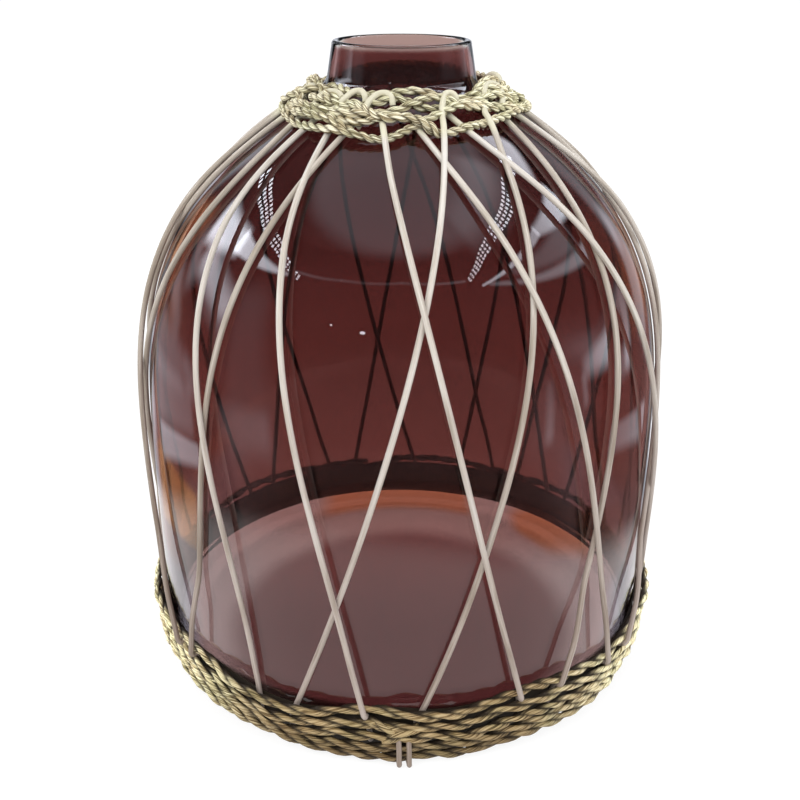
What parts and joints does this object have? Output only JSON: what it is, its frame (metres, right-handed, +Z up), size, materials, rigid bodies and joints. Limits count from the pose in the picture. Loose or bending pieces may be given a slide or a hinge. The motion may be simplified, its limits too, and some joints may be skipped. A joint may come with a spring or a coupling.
{
  "type": "vase",
  "caption": "Squat bottle vase of brown amethyst glass with a short neck, in a draped cage of crossing reeds between a rope collar and a rope foot band.",
  "frame": {"origin": "centre of the footprint, on the surface the vase stands on", "axes": "+Z up along the bottle's axis, -Y toward the lashing at the front of the foot band"},
  "size_m": [0.2508, 0.2524, 0.28],
  "materials": {
    "amethyst_glass": "gloss",
    "pale_reed": "matte",
    "seagrass_rope": "matte"
  },
  "bodies": {
    "root": {"glass_vase": "amethyst_glass", "reed_right_01": "pale_reed", "reed_right_02": "pale_reed", "reed_right_03": "pale_reed", "reed_right_04": "pale_reed", "reed_right_05": "pale_reed", "reed_right_06": "pale_reed", "reed_right_07": "pale_reed", "reed_right_08": "pale_reed", "reed_right_09": "pale_reed", "reed_right_10": "pale_reed", "reed_right_11": "pale_reed", "reed_right_12": "pale_reed", "reed_right_13": "pale_reed", "reed_right_14": "pale_reed", "reed_left_01": "pale_reed", "reed_left_02": "pale_reed", "reed_left_03": "pale_reed", "reed_left_04": "pale_reed", "reed_left_05": "pale_reed", "reed_left_06": "pale_reed", "reed_left_07": "pale_reed", "reed_left_08": "pale_reed", "reed_left_09": "pale_reed", "reed_left_10": "pale_reed", "reed_left_11": "pale_reed", "reed_left_12": "pale_reed", "reed_left_13": "pale_reed", "reed_left_14": "pale_reed", "base_winding": "seagrass_rope", "collar_winding": "seagrass_rope", "front_lashing": "pale_reed"}
  },
  "joints": []
}
